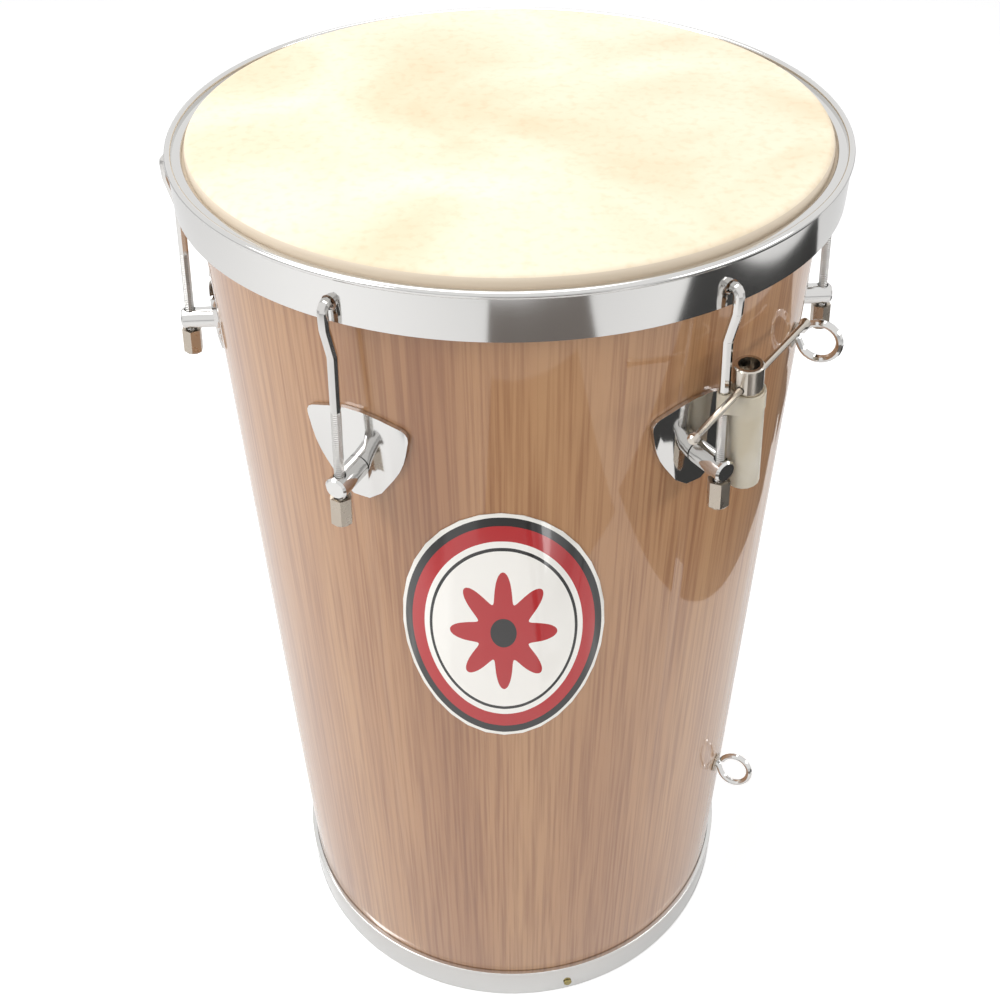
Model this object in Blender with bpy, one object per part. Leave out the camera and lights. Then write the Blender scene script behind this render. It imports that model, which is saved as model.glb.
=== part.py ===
"""A rebolo, the single-headed samba hand drum, modelled piece by piece.

Metres, +Z up. The drum stands on its bottom rim with the open end down, and its front faces -Y.
A bearing is counted in degrees round the drum, from the front towards the right hand (+X).
A lug frame has its X axis pointing straight out of the shell, Y along the shell and Z up.
"""

import math

import bmesh
import bpy
from mathutils import Matrix, Vector

# Gaps that pieces keep to each other
FIT = 0.0003
ROUND_STEPS = 48
SMALL_STEPS = 12

# Shell and what stiffens it
SHELL_LENGTH = 0.545
SHELL_TOP_RADIUS = 0.1524
SHELL_FOOT_RADIUS = 0.1453
SHELL_WALL = 0.006
BEARING_EDGE_ROUND = 0.0028
BEARING_EDGE_LAND = 0.0008
REINFORCING_WALL = 0.006
REINFORCING_HEIGHT = 0.030
REINFORCING_INSET = 0.004

# Bottom rim, a rolled channel round the foot of the shell
BOTTOM_RIM_SHEET = 0.0012
BOTTOM_RIM_RADIUS = 0.1486
BOTTOM_RIM_HEIGHT = 0.0245
BOTTOM_RIM_ROUND = 0.0006
RIM_SCREW_BEARINGS = (14.2, 134.2, 254.2)
RIM_SCREW_HEIGHT = 0.0079
RIM_SCREW_DIAMETER = 0.0026
RIM_SCREW_HEAD_DIAMETER = 0.0054
RIM_SCREW_HEAD_HEIGHT = 0.0014
RIM_SCREW_BITE = 0.0045
RIM_SCREW_SLOT_WIDTH = 0.0007
RIM_SCREW_SLOT_DEPTH = 0.0007

# Head: the hide, and the flesh hoop that its edge is wrapped round
HIDE = 0.0010
HIDE_SHOULDER_ROUND = 0.0030
HIDE_COLLAR_GAP = 0.0005
FLESH_HOOP_WIRE = 0.0048
FLESH_HOOP_GAP = 0.0006

# Tension rim
RIM_SHEET = 0.0015
RIM_HEIGHT = 0.0203
RIM_FLANGE_GAP = 0.0016
RIM_BEAD_RADIUS = 0.00165
HEAD_STAND = 0.0051

# Lugs
LUG_COUNT = 6
FIRST_LUG_BEARING = -26.4
POST_DROP = 0.1052
POST_DIAMETER = 0.011
POST_REACH = 0.1732
POST_CHAMFER = 0.0010
POST_BOLT_DEPTH = 0.0100
PLATE_SHEET = 0.0022
PLATE_PEAK = 0.0333
PLATE_CORNER = (0.0263, 0.0241)
PLATE_SIDE = (0.0223, 0.0038)
PLATE_TIP = -0.0283
PLATE_CORNER_ROUND = 0.0050
PLATE_TIP_ROUND = 0.0130
PLATE_SOFT_ROUND = 0.0400
PLATE_BEND_STEP = 0.0080
BOLT_DIAMETER = 0.006
BOLT_HEAD_FLATS = 0.010
BOLT_HEAD_HEIGHT = 0.004
BOLT_HOLE_DIAMETER = 0.0068
WASHER_DIAMETER = 0.014
WASHER_SHEET = 0.0015

# Tuning hooks and nuts
ROD_DIAMETER = 0.00476
ROD_RADIUS_AT_POST = 0.1689
ROD_LEAN = math.radians(4.5)
ROD_TAIL_COVER = 0.002
HOOK_KNEE_DROP = 0.0157
HOOK_SHOULDER_DROP = 0.0008
HOOK_STAND_OFF = 0.0024
HOOK_CROWN_RISE = 0.0119
HOOK_TIP_REACH = 0.0098
HOOK_TIP_FALL = 0.0053
HOOK_SOFT_BEND = 0.008
HOOK_CROWN_BEND = 0.0032
HOOP_TRAVEL = 0.004
NUT_FLATS = 0.0092
NUT_HEIGHT = 0.014

# Strap eyes
EYE_BEARING = FIRST_LUG_BEARING + 1.5 * 360 / LUG_COUNT
EYE_UPPER_DROP = 0.0822
EYE_LOWER_HEIGHT = 0.1395
EYE_UPPER_TURN = 0.0
EYE_LOWER_TURN = math.radians(-15)
EYE_WIRE = 0.0038
EYE_RING_RADIUS = 0.00965
EYE_START = math.radians(208)
EYE_END = math.radians(520)
EYE_NECK_BEND = 0.0026
EYE_SHANK_END = 0.002
EYE_WASHER_DIAMETER = 0.012
EYE_OUTER_WASHER_SHEET = 0.0010
EYE_INNER_WASHER_SHEET = 0.0012
EYE_NUT_FLATS = 0.007
EYE_NUT_HEIGHT = 0.0035

# Tuning key, its tommy bar, and the sleeve that holds it on a hook
KEY_LUG = 2
KEY_DIAMETER = 0.0135
KEY_LENGTH = 0.0643
KEY_BORE = 0.0096
KEY_SOCKET_DEPTH = 0.018
KEY_SOCKET_PLAY = 0.0004
KEY_RADIUS = 0.1694
KEY_LEAN = math.radians(5.3)
KEY_END_CHAMFER = 0.0006
BAR_DIAMETER = 0.0032
BAR_HOLE_PLAY = 0.0006
BAR_DROP = 0.010
BAR_TURN = math.radians(-18.5)
BAR_LONG_ARM = 0.0525
BAR_SHORT_ARM = 0.0460
BAR_KNOB_DIAMETER = 0.0050
BAR_KNOB_LENGTH = 0.0042
SLEEVE_WALL = 0.0006
SLEEVE_PLAY = 0.00035
SLEEVE_FLOOR = 0.0008
SLEEVE_LENGTH = 0.0522
SLEEVE_COLLAR_HEIGHT = 0.0092
SLEEVE_LIP = 0.0004
SLEEVE_FOOT_DROP = 0.0127

# Badge on the front of the shell
BADGE_BEARING = -1.5
BADGE_HEIGHT = 0.3475
BADGE_HALF_WIDTH = 0.0505
BADGE_HALF_HEIGHT = 0.0780
BADGE_SHEET = 0.0004
BADGE_STEPS = 32
BADGE_BEND_STEP = 0.010

# Heights that follow from those sizes
SHELL_FOOT = BOTTOM_RIM_SHEET + FIT
SHELL_TOP = SHELL_FOOT + SHELL_LENGTH
HEAD_TOP = SHELL_TOP + FIT + HIDE
FLANGE_TOP = HEAD_TOP - HEAD_STAND
FLANGE_UNDERSIDE = FLANGE_TOP - RIM_SHEET
RIM_FOOT = FLANGE_TOP - RIM_HEIGHT
HOOP_HEIGHT = FLANGE_UNDERSIDE - 2 * FIT - HIDE - FLESH_HOOP_WIRE / 2
POST_HEIGHT = HEAD_TOP - POST_DROP
SLEEVE_FOOT = POST_HEIGHT - SLEEVE_FOOT_DROP

# Radii that follow from those sizes
COLLAR_RADIUS = SHELL_TOP_RADIUS + HIDE_COLLAR_GAP + HIDE
HOOP_RADIUS = COLLAR_RADIUS + FLESH_HOOP_GAP + FLESH_HOOP_WIRE / 2
WRAP_RADIUS = HOOP_RADIUS + FLESH_HOOP_WIRE / 2 + FIT + HIDE
RIM_INNER_RADIUS = WRAP_RADIUS + FIT
RIM_RADIUS = RIM_INNER_RADIUS + RIM_SHEET
ROD_SIDE_SHIFT = HOOP_TRAVEL * math.tan(ROD_LEAN)
ROD_HOLE_RADIUS = ROD_DIAMETER / 2 + FIT + ROD_SIDE_SHIFT
SLEEVE_RADIUS = KEY_DIAMETER / 2 + SLEEVE_PLAY + SLEEVE_WALL
KEY_SIDE_AT_POST = (POST_DIAMETER / 2 + FIT + SLEEVE_RADIUS) / math.cos(KEY_LEAN)
ROUNDOFF = 0.0000001


def shell_radius(height):
    """Outside radius of the tapered shell at this height."""
    share = (height - SHELL_FOOT) / SHELL_LENGTH
    return SHELL_FOOT_RADIUS + share * (SHELL_TOP_RADIUS - SHELL_FOOT_RADIUS)


def wall_inside(height, half_width):
    """Radius that a flat piece of this half width, pressed on the inner wall, stays inside of."""
    bore = shell_radius(height) - SHELL_WALL
    facet_dip = bore * (1 - math.cos(math.pi / ROUND_STEPS))
    return bore - facet_dip - half_width**2 / (2 * bore) - FIT


def rod_radius(height):
    """Distance of the leaning hook rod's axis from the drum's axis at this height."""
    return ROD_RADIUS_AT_POST - (height - POST_HEIGHT) * math.tan(ROD_LEAN)


def arc(centre, radius, start, end, steps):
    """Points of an arc between two angles in degrees, both ends included."""
    angles = [math.radians(start + (end - start) * i / steps) for i in range(steps + 1)]
    return [(centre[0] + radius * math.cos(a), centre[1] + radius * math.sin(a)) for a in angles]


def bent(corners, radii, steps, closed=False):
    """A path through flat corner points, each corner rounded to its own radius."""
    count = len(corners)
    path = []
    for i in range(count):
        corner = Vector(corners[i])
        if radii[i] == 0 or (not closed and i in (0, count - 1)):
            path.append(corner)
            continue
        back = (Vector(corners[i - 1]) - corner).normalized()
        ahead = (Vector(corners[(i + 1) % count]) - corner).normalized()
        half_angle = back.angle(ahead) / 2
        centre = corner + (back + ahead).normalized() * radii[i] / math.sin(half_angle)
        run = radii[i] / math.tan(half_angle)
        first = corner + back * run - centre
        last = corner + ahead * run - centre
        sweep = first.angle(last)
        for step in range(steps + 1):
            share = step / steps
            weight_first = math.sin((1 - share) * sweep)
            weight_last = math.sin(share * sweep)
            path.append(centre + (first * weight_first + last * weight_last) / math.sin(sweep))
    return path


def circle(radius, steps=SMALL_STEPS):
    """Flat points of a circle."""
    return [
        (radius * math.cos(math.tau * i / steps), radius * math.sin(math.tau * i / steps))
        for i in range(steps)
    ]


def hexagon(flats, steps=SMALL_STEPS):
    """Flat points on a hexagon of this width across flats, at even angles."""
    points = []
    for i in range(steps):
        angle = math.tau * i / steps
        off_flat = (angle + math.pi / 6) % (math.pi / 3) - math.pi / 6
        reach = flats / 2 / math.cos(off_flat)
        points.append((reach * math.cos(angle), reach * math.sin(angle)))
    return points


def at_height(points, height):
    return [(x, y, height) for x, y in points]


def loft(loops, ring=False):
    """A solid skinned over closed loops of points; a ring also joins the last loop to the first."""
    bm = bmesh.new()
    rows = []
    for loop in loops:
        verts = [bm.verts.new(point) for point in loop]
        edges = [bm.edges.new((verts[i - 1], verts[i])) for i in range(len(verts))]
        rows.append((verts, edges))
    for i in range(len(rows) if ring else len(rows) - 1):
        bmesh.ops.bridge_loops(bm, edges=rows[i][1] + rows[(i + 1) % len(rows)][1])
    if not ring:
        bm.faces.new(rows[0][0])
        bm.faces.new(rows[-1][0])
    bmesh.ops.recalc_face_normals(bm, faces=bm.faces)
    return bm


def turned(outline, steps=ROUND_STEPS):
    """A solid turned round Z from an outline of (radius, height) points."""
    bm = bmesh.new()
    verts = [bm.verts.new((radius, 0, height)) for radius, height in outline]
    edges = []
    for i in range(len(verts)):
        if outline[i - 1][0] > ROUNDOFF or outline[i][0] > ROUNDOFF:
            edges.append(bm.edges.new((verts[i - 1], verts[i])))
    bmesh.ops.spin(
        bm, geom=verts + edges, axis=(0, 0, 1), angle=math.tau, steps=steps, use_merge=True
    )
    bmesh.ops.remove_doubles(bm, verts=bm.verts, dist=ROUNDOFF)
    bmesh.ops.recalc_face_normals(bm, faces=bm.faces)
    return bm


def rod(radius, start, end, steps=SMALL_STEPS):
    """A straight round bar between two points."""
    start = Vector(start)
    end = Vector(end)
    bm = bmesh.new()
    turn = (end - start).to_track_quat("Z", "X").to_matrix().to_4x4()
    bmesh.ops.create_cone(
        bm,
        cap_ends=True,
        segments=steps,
        radius1=radius,
        radius2=radius,
        depth=(end - start).length,
        matrix=Matrix.Translation((start + end) / 2) @ turn,
    )
    return bm


def merged(parts):
    """Several bodies in one bmesh, still separate."""
    joined = bmesh.new()
    for part in parts:
        mesh = bpy.data.meshes.new("passing")
        part.to_mesh(mesh)
        part.free()
        joined.from_mesh(mesh)
        bpy.data.meshes.remove(mesh)
    return joined


def combined(solid, tool, operation="DIFFERENCE"):
    """The solid after a Boolean with the tool."""
    objects = []
    for name, bm in (("solid", solid), ("tool", tool)):
        mesh = bpy.data.meshes.new(name)
        bm.to_mesh(mesh)
        bm.free()
        made = bpy.data.objects.new(name, mesh)
        bpy.context.scene.collection.objects.link(made)
        objects.append(made)
    modifier = objects[0].modifiers.new("boolean", "BOOLEAN")
    modifier.object = objects[1]
    modifier.operation = operation
    graph = bpy.context.evaluated_depsgraph_get()
    result = bmesh.new()
    result.from_object(objects[0], graph)
    for made in objects:
        mesh = made.data
        bpy.data.objects.remove(made)
        bpy.data.meshes.remove(mesh)
    return result


def turned_to(bm, bearing):
    """Turns what was built in a lug frame to its bearing."""
    bmesh.ops.rotate(
        bm, verts=bm.verts, cent=(0, 0, 0), matrix=Matrix.Rotation(bearing_turn(bearing), 3, "Z")
    )
    return bm


def bearing_turn(bearing):
    return math.radians(bearing - 90)


def finish(name, colour, metallic, roughness):
    """A plain material for a sub-part."""
    material = bpy.data.materials.new(name)
    material.use_nodes = True
    shader = material.node_tree.nodes["Principled BSDF"]
    shader.inputs["Base Color"].default_value = (*colour, 1)
    shader.inputs["Metallic"].default_value = metallic
    shader.inputs["Roughness"].default_value = roughness
    return material


def mesh_from(name, bm, material):
    """A mesh shaded smooth, with its real edges left sharp."""
    mesh = bpy.data.meshes.new(name)
    bm.to_mesh(mesh)
    bm.free()
    mesh.shade_smooth()
    mesh.set_sharp_from_angle(angle=math.radians(35))
    mesh.materials.append(material)
    return mesh


def place(name, data, parent, location=(0, 0, 0), turn=(0, 0, 0)):
    """Puts a named object of the drum in its parent's frame."""
    made = bpy.data.objects.new(name, data)
    bpy.context.scene.collection.objects.link(made)
    made.parent = parent
    made.location = location
    made.rotation_euler = turn
    return made


def wire_curve(name, path, diameter, material):
    """A round wire along a path of points."""
    curve = bpy.data.curves.new(name, "CURVE")
    curve.dimensions = "3D"
    curve.bevel_depth = diameter / 2
    curve.bevel_resolution = 2
    curve.use_fill_caps = True
    spline = curve.splines.new("POLY")
    spline.points.add(len(path) - 1)
    for point, place_on_path in zip(spline.points, path):
        point.co = (*place_on_path, 1)
    curve.materials.append(material)
    return curve


def wrapped_sheet(outline, height, gap, sheet, bend_step):
    """A sheet cut to a flat outline, laid round the shell in a lug frame at this height."""
    bm = bmesh.new()
    bm.faces.new([bm.verts.new((0, side, rise)) for side, rise in outline])
    reach = max(side for side, rise in outline)
    cuts = int(reach / bend_step)
    for i in range(-cuts, cuts + 1):
        bmesh.ops.bisect_plane(
            bm,
            geom=bm.verts[:] + bm.edges[:] + bm.faces[:],
            plane_co=(0, i * bend_step, 0),
            plane_no=(0, 1, 0),
        )
    made = bmesh.ops.extrude_face_region(bm, geom=bm.faces[:], use_keep_orig=True)
    front = [part for part in made["geom"] if isinstance(part, bmesh.types.BMVert)]
    bmesh.ops.translate(bm, verts=front, vec=(sheet, 0, 0))
    bmesh.ops.recalc_face_normals(bm, faces=bm.faces)
    for vert in bm.verts:
        depth, side, rise = vert.co
        angle = side / shell_radius(height)
        radius = shell_radius(height + rise) + gap + depth
        vert.co = (radius * math.cos(angle), radius * math.sin(angle), height + rise)
    return bm


def shell_solid():
    """The tapered shell with its bearing edge and the holes for everything bolted to it."""
    edge_start = SHELL_TOP - BEARING_EDGE_ROUND
    edge_centre = (SHELL_TOP_RADIUS - BEARING_EDGE_ROUND, edge_start)
    inner_top = SHELL_TOP_RADIUS - SHELL_WALL
    chamfer = SHELL_WALL - BEARING_EDGE_ROUND - BEARING_EDGE_LAND
    outline = [
        (SHELL_FOOT_RADIUS - SHELL_WALL, SHELL_FOOT),
        (SHELL_FOOT_RADIUS, SHELL_FOOT),
        *arc(edge_centre, BEARING_EDGE_ROUND, 0, 90, 3),
        (inner_top + chamfer, SHELL_TOP),
        (inner_top, SHELL_TOP - chamfer),
    ]
    inside = 0.8 * SHELL_FOOT_RADIUS
    outside = 1.2 * SHELL_TOP_RADIUS
    holes = []
    for bearing in lug_bearings():
        hole = rod(
            BOLT_HOLE_DIAMETER / 2, (inside, 0, POST_HEIGHT), (outside, 0, POST_HEIGHT)
        )
        holes.append(turned_to(hole, bearing))
    for height in eye_heights():
        hole = rod(EYE_WIRE / 2 + 2 * FIT, (inside, 0, height), (outside, 0, height))
        holes.append(turned_to(hole, EYE_BEARING))
    blind_end = shell_radius(RIM_SCREW_HEIGHT) - RIM_SCREW_BITE - FIT
    for bearing in RIM_SCREW_BEARINGS:
        start = (blind_end, 0, RIM_SCREW_HEIGHT)
        hole = rod(RIM_SCREW_DIAMETER / 2 + FIT, start, (outside, 0, RIM_SCREW_HEIGHT))
        holes.append(turned_to(hole, bearing))
    return combined(turned(outline), merged(holes))


def reinforcing_ring(low, high):
    """A wooden hoop glued inside the shell between two heights."""
    outline = []
    for height, inset in ((low, 0), (high, 0), (high, REINFORCING_WALL), (low, REINFORCING_WALL)):
        outline.append((shell_radius(height) - SHELL_WALL - FIT - inset, height))
    return turned(outline)


def bottom_rim_solid():
    """The rolled steel channel that the drum stands on."""
    lip_radius = shell_radius(BOTTOM_RIM_HEIGHT) + FIT
    inside = BOTTOM_RIM_RADIUS - BOTTOM_RIM_SHEET
    outer = BOTTOM_RIM_RADIUS - BOTTOM_RIM_ROUND
    crown = BOTTOM_RIM_HEIGHT - BOTTOM_RIM_ROUND
    outline = [
        (SHELL_FOOT_RADIUS - SHELL_WALL, 0),
        *arc((outer, BOTTOM_RIM_ROUND), BOTTOM_RIM_ROUND, -90, 0, 1),
        *arc((outer, crown), BOTTOM_RIM_ROUND, 0, 90, 2),
        (lip_radius, BOTTOM_RIM_HEIGHT),
        (lip_radius, BOTTOM_RIM_HEIGHT - BOTTOM_RIM_SHEET),
        (inside, BOTTOM_RIM_HEIGHT - BOTTOM_RIM_SHEET),
        (inside, BOTTOM_RIM_SHEET),
        (SHELL_FOOT_RADIUS - SHELL_WALL, BOTTOM_RIM_SHEET),
    ]
    holes = []
    for bearing in RIM_SCREW_BEARINGS:
        hole = rod(
            RIM_SCREW_DIAMETER / 2 + FIT,
            (shell_radius(RIM_SCREW_HEIGHT) + FIT, 0, RIM_SCREW_HEIGHT),
            (1.2 * BOTTOM_RIM_RADIUS, 0, RIM_SCREW_HEIGHT),
        )
        holes.append(turned_to(hole, bearing))
    return combined(turned(outline), merged(holes))


def rim_screw_solid():
    """A slotted pan-head screw along X, with X = 0 at the underside of its head."""
    bite = BOTTOM_RIM_RADIUS + FIT - shell_radius(RIM_SCREW_HEIGHT) + RIM_SCREW_BITE
    stations = (
        (-bite, RIM_SCREW_DIAMETER / 4),
        (-bite + RIM_SCREW_DIAMETER / 2, RIM_SCREW_DIAMETER / 2),
        (0, RIM_SCREW_DIAMETER / 2),
        (0, RIM_SCREW_HEAD_DIAMETER / 2),
        (RIM_SCREW_HEAD_HEIGHT / 2, RIM_SCREW_HEAD_DIAMETER / 2),
        (RIM_SCREW_HEAD_HEIGHT, RIM_SCREW_HEAD_DIAMETER / 3),
    )
    slot = bmesh.new()
    size = (2 * RIM_SCREW_SLOT_DEPTH, 2 * RIM_SCREW_HEAD_DIAMETER, RIM_SCREW_SLOT_WIDTH)
    bmesh.ops.create_cube(slot, size=1, matrix=Matrix.Diagonal((*size, 1)))
    bmesh.ops.translate(slot, verts=slot.verts, vec=(RIM_SCREW_HEAD_HEIGHT, 0, 0))
    return combined(along_x(stations), slot)


def along_x(stations, steps=SMALL_STEPS):
    """A solid turned round X from (distance, radius) stations."""
    loops = []
    for distance, radius in stations:
        loops.append([(distance, y, z) for y, z in circle(radius, steps)])
    return loft(loops)


def head_solid():
    """The hide: flat on top, down over the bearing edge as a collar, then round the flesh hoop."""
    middle = HIDE / 2
    top = HEAD_TOP - middle
    wrap_top = FLANGE_UNDERSIDE - FIT - middle
    wrap_foot = HOOP_HEIGHT - FLESH_HOOP_WIRE / 2 - FIT - middle
    collar = COLLAR_RADIUS - middle
    wrap = WRAP_RADIUS - middle
    corners = ((0, top), (collar, top), (collar, wrap_top), (wrap, wrap_top), (wrap, wrap_foot))
    corners += ((HOOP_RADIUS, wrap_foot),)
    radii = (0, HIDE_SHOULDER_ROUND, HIDE, 1.5 * HIDE, 1.5 * HIDE, 0)
    path = bent(corners, radii, 2)
    outside = []
    inside = []
    for i, point in enumerate(path):
        ahead = path[min(i + 1, len(path) - 1)]
        behind = path[max(i - 1, 0)]
        along = (ahead - behind).normalized()
        side = Vector((-along.y, along.x)) * middle
        outside.append(point + side)
        inside.append(point - side)
    for end in (outside, inside):
        end[0].x = 0
    return turned([tuple(point) for point in outside + inside[::-1]])


def flesh_hoop_solid():
    """The round steel hoop inside the edge of the hide."""
    section = arc((HOOP_RADIUS, HOOP_HEIGHT), FLESH_HOOP_WIRE / 2, 0, 315, 7)
    return turned(section)


def tension_rim_solid():
    """The chromed rim: an upright band, a rolled bead on top and a flange over the flesh hoop."""
    bead = (RIM_RADIUS - RIM_BEAD_RADIUS / 2, FLANGE_TOP + RIM_BEAD_RADIUS / 2)
    flange_edge = COLLAR_RADIUS + RIM_FLANGE_GAP
    outline = [
        (flange_edge, FLANGE_UNDERSIDE),
        (RIM_INNER_RADIUS - RIM_SHEET / 2, FLANGE_UNDERSIDE),
        (RIM_INNER_RADIUS, FLANGE_UNDERSIDE - RIM_SHEET / 2),
        (RIM_INNER_RADIUS, RIM_FOOT),
        (RIM_RADIUS, RIM_FOOT),
        *arc(bead, RIM_BEAD_RADIUS, -60, 180, 6),
        (bead[0] - RIM_BEAD_RADIUS, FLANGE_TOP),
        (flange_edge, FLANGE_TOP),
    ]
    middle = RIM_RADIUS - RIM_SHEET / 2
    slope = HOOK_TIP_FALL / HOOK_TIP_REACH
    crown = hook_corners()[3]
    centre = crown[1] - (crown[0] - middle) * slope
    opening = ROD_DIAMETER / 2 * math.hypot(1, slope) + RIM_SHEET / 2 * slope + FIT
    holes = []
    for bearing in lug_bearings():
        start = (RIM_INNER_RADIUS - RIM_SHEET, 0, centre)
        hole = rod(opening, start, (RIM_RADIUS + RIM_SHEET, 0, centre))
        holes.append(turned_to(hole, bearing))
    return combined(turned(outline), merged(holes))


def hook_corners():
    """Corners of a hook in the upright plane of its lug, from the threaded tail to the tip."""
    tail = POST_HEIGHT - POST_DIAMETER / 2 - FIT - NUT_HEIGHT + ROD_TAIL_COVER
    knee = RIM_FOOT - HOOK_KNEE_DROP
    outer = RIM_RADIUS + ROD_DIAMETER / 2 + HOOK_STAND_OFF
    crown = RIM_FOOT + HOOK_CROWN_RISE
    return (
        (rod_radius(tail), tail),
        (rod_radius(knee), knee),
        (outer, RIM_FOOT - HOOK_SHOULDER_DROP),
        (outer, crown),
        (outer - HOOK_TIP_REACH, crown - HOOK_TIP_FALL),
    )


def hook_path():
    radii = (0, HOOK_SOFT_BEND, HOOK_SOFT_BEND, HOOK_CROWN_BEND, 0)
    return [(point.x, 0, point.y) for point in bent(hook_corners(), radii, 4)]


def nut_drop():
    """Distance down the rod from the post's centre line to the top face of the nut."""
    corner = NUT_FLATS / math.sqrt(3)
    return (POST_DIAMETER / 2 + FIT + corner * math.sin(ROD_LEAN)) / math.cos(ROD_LEAN)


def nut_solid():
    """A tall hexagon nut round Z, with Z = 0 at its top face."""
    chamfered = NUT_FLATS * 0.97
    return loft(
        (
            at_height(hexagon(NUT_FLATS), 0),
            at_height(circle(ROD_HOLE_RADIUS), 0),
            at_height(circle(ROD_HOLE_RADIUS), -NUT_HEIGHT),
            at_height(circle(chamfered / 2), -NUT_HEIGHT),
            at_height(hexagon(NUT_FLATS), -NUT_HEIGHT + NUT_FLATS / 12),
        ),
        ring=True,
    )


def plate_solid():
    """The pick-shaped lug plate, laid round the shell, with its bolt hole."""
    side_corners = (PLATE_CORNER, PLATE_SIDE)
    corners = [(0, PLATE_PEAK), *side_corners, (0, PLATE_TIP)]
    corners += [(-side, rise) for side, rise in reversed(side_corners)]
    radii = [PLATE_SOFT_ROUND, PLATE_CORNER_ROUND, PLATE_SOFT_ROUND, PLATE_TIP_ROUND]
    radii += [PLATE_SOFT_ROUND, PLATE_CORNER_ROUND]
    outline = [tuple(point) for point in bent(corners, radii, 3, closed=True)]
    sheet = wrapped_sheet(outline, POST_HEIGHT, FIT, PLATE_SHEET, PLATE_BEND_STEP)
    hole = rod(
        BOLT_HOLE_DIAMETER / 2,
        (0.8 * SHELL_FOOT_RADIUS, 0, POST_HEIGHT),
        (1.2 * SHELL_TOP_RADIUS, 0, POST_HEIGHT),
    )
    return combined(sheet, hole)


def post_base():
    return shell_radius(POST_HEIGHT) + 2 * FIT + PLATE_SHEET


def post_solid():
    """The lug post, tapped from behind for its bolt and drilled across for the hook."""
    radius = POST_DIAMETER / 2
    stations = (
        (post_base(), radius),
        (POST_REACH - POST_CHAMFER, radius),
        (POST_REACH, radius - POST_CHAMFER),
    )
    body = along_x(stations, 16)
    for vert in body.verts:
        vert.co.z += POST_HEIGHT
    bolt_bore = rod(
        BOLT_DIAMETER / 2 + FIT,
        (post_base() - POST_DIAMETER, 0, POST_HEIGHT),
        (post_base() + POST_BOLT_DEPTH, 0, POST_HEIGHT),
    )
    low = POST_HEIGHT - POST_DIAMETER
    high = POST_HEIGHT + POST_DIAMETER
    hook_hole = rod(ROD_HOLE_RADIUS, (rod_radius(low), 0, low), (rod_radius(high), 0, high))
    return combined(body, merged((bolt_bore, hook_hole)))


def washer_solid(diameter, bore, sheet):
    """A flat washer along X, with X = 0 at its outer face."""
    loops = []
    for distance, radius in (
        (0, diameter / 2),
        (0, bore / 2),
        (-sheet, bore / 2),
        (-sheet, diameter / 2),
    ):
        loops.append([(distance, y, z) for y, z in circle(radius)])
    return loft(loops, ring=True)


def bolt_solid():
    """The lug bolt along X, with X = 0 at the underside of its hexagon head."""
    head = wall_inside(POST_HEIGHT, WASHER_DIAMETER / 2) - WASHER_SHEET - FIT
    reach = post_base() + POST_BOLT_DEPTH - FIT - head
    flats = hexagon(BOLT_HEAD_FLATS)
    shank = circle(BOLT_DIAMETER / 2)
    return loft(
        (
            [(-BOLT_HEAD_HEIGHT, y, z) for y, z in flats],
            [(0, y, z) for y, z in flats],
            [(0, y, z) for y, z in shank],
            [(reach, y, z) for y, z in shank],
        )
    )


def eye_heights():
    return (HEAD_TOP - EYE_UPPER_DROP, EYE_LOWER_HEIGHT)


def eye_centre():
    """Distance of an eye's ring centre from the shell's outside."""
    return 2 * FIT + EYE_OUTER_WASHER_SHEET + EYE_WIRE / 2 + EYE_RING_RADIUS


def eye_nut_face(height):
    """Where the inner face of an eye's nut lies, from the shell's outside."""
    inside = wall_inside(height, EYE_WASHER_DIAMETER / 2) - shell_radius(height)
    return inside - EYE_INNER_WASHER_SHEET - FIT


def eye_path(height):
    """A shank through the shell, a neck to one side and a ring that comes back to the neck."""
    centre = eye_centre()
    tail = eye_nut_face(height) - EYE_NUT_HEIGHT - EYE_SHANK_END
    start = Vector((math.cos(EYE_START), math.sin(EYE_START))) * EYE_RING_RADIUS
    start.x += centre
    tangent = Vector((-math.sin(EYE_START), math.cos(EYE_START)))
    neck = Vector((start.x - tangent.x * start.y / tangent.y, 0))
    path = bent(((tail, 0), neck, start), (0, EYE_NECK_BEND, 0), 4)
    steps = 22
    for step in range(1, steps + 1):
        angle = EYE_START + (EYE_END - EYE_START) * step / steps
        ring = Vector((math.cos(angle), math.sin(angle))) * EYE_RING_RADIUS
        path.append(ring + Vector((centre, 0)))
    return [(point.x, 0, point.y) for point in path]


def key_solid():
    """The tuning key round Z: a tube with a hexagon socket at its foot and a hole for the bar."""
    radius = KEY_DIAMETER / 2
    body = loft(
        (
            at_height(circle(radius, 16), 0),
            at_height(circle(radius, 16), KEY_LENGTH - KEY_END_CHAMFER),
            at_height(circle(radius - KEY_END_CHAMFER, 16), KEY_LENGTH),
        )
    )
    socket_flats = hexagon(NUT_FLATS + KEY_SOCKET_PLAY)
    socket = loft((at_height(socket_flats, -FIT), at_height(socket_flats, KEY_SOCKET_DEPTH)))
    bore = rod(KEY_BORE / 2, (0, 0, KEY_SOCKET_DEPTH / 2), (0, 0, 2 * KEY_LENGTH))
    bar_height = KEY_LENGTH - BAR_DROP
    along = bar_direction() * KEY_DIAMETER
    middle = Vector((0, 0, bar_height))
    cross_hole = rod((BAR_DIAMETER + BAR_HOLE_PLAY) / 2, middle - along, middle + along)
    return combined(combined(combined(body, socket), bore), cross_hole)


def bar_direction():
    """Which way the tommy bar's long arm points, in the key's frame."""
    return Vector((math.sin(BAR_TURN), math.cos(BAR_TURN), 0))


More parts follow.
